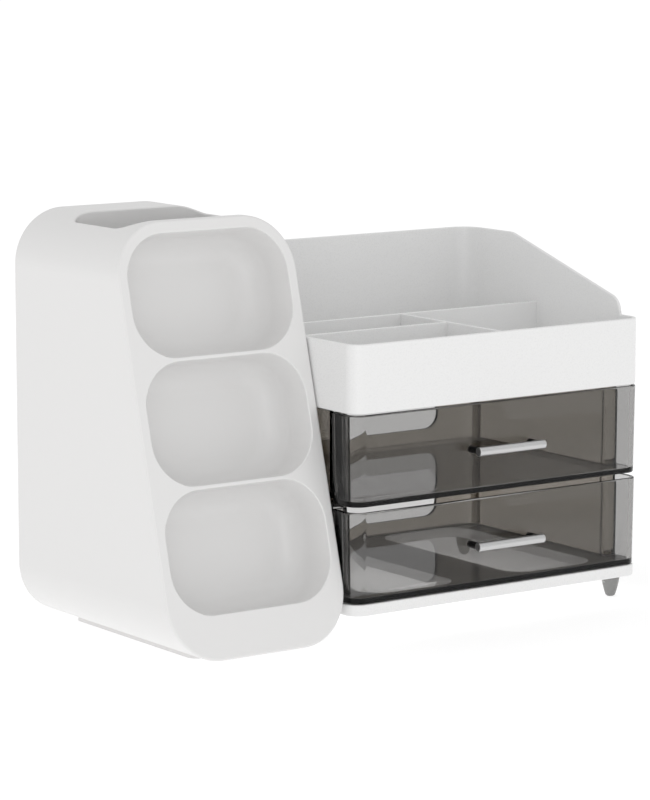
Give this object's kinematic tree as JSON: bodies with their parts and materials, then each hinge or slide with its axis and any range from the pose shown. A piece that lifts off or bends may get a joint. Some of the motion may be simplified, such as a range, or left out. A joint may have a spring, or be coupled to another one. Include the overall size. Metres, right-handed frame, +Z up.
{
  "type": "brush holder with drawer",
  "caption": "White desktop cosmetics organiser: smoke-clear sliding drawers under an open divided tray, beside a leaning brush tower with rounded pockets and an open well in its top.",
  "frame": {"origin": "middle of the overall footprint, on the surface the organiser stands on", "axes": "+X along the overall width from the tower to the cabinet, +Y from the drawer fronts to the back, +Z up"},
  "size_m": [0.2978, 0.1624, 0.2148],
  "materials": {
    "cabinet_white": "satin",
    "tower_white": "satin",
    "cover_white": "matte",
    "housing_smoke": "gloss",
    "drawer_smoke": "gloss",
    "foot_clear_grey": "gloss",
    "handle_metal": "polished",
    "post_dark": "gloss"
  },
  "bodies": {
    "organiser": {"base_plate": "cabinet_white", "foot_front_left": "foot_clear_grey", "foot_front_right": "foot_clear_grey", "foot_rear_left": "foot_clear_grey", "foot_rear_right": "foot_clear_grey", "drawer_housing": "housing_smoke", "top_tray": "cabinet_white", "tower_shell": "tower_white", "tower_front": "tower_white", "tower_cover_plate": "cover_white"},
    "lower_drawer": {"drawer_lower": "drawer_smoke", "handle_bar_lower": "handle_metal", "handle_post_lower_left": "post_dark", "handle_post_lower_right": "post_dark"},
    "upper_drawer": {"drawer_upper": "drawer_smoke", "handle_bar_upper": "handle_metal", "handle_post_upper_left": "post_dark", "handle_post_upper_right": "post_dark"}
  },
  "joints": [
    {"name": "lower_drawer_slide", "type": "slide", "parent": "organiser", "child": "lower_drawer", "axis": [0, -1, 0], "range_m": [0, 0.091]},
    {"name": "upper_drawer_slide", "type": "slide", "parent": "organiser", "child": "upper_drawer", "axis": [0, -1, 0], "range_m": [0, 0.091]}
  ]
}
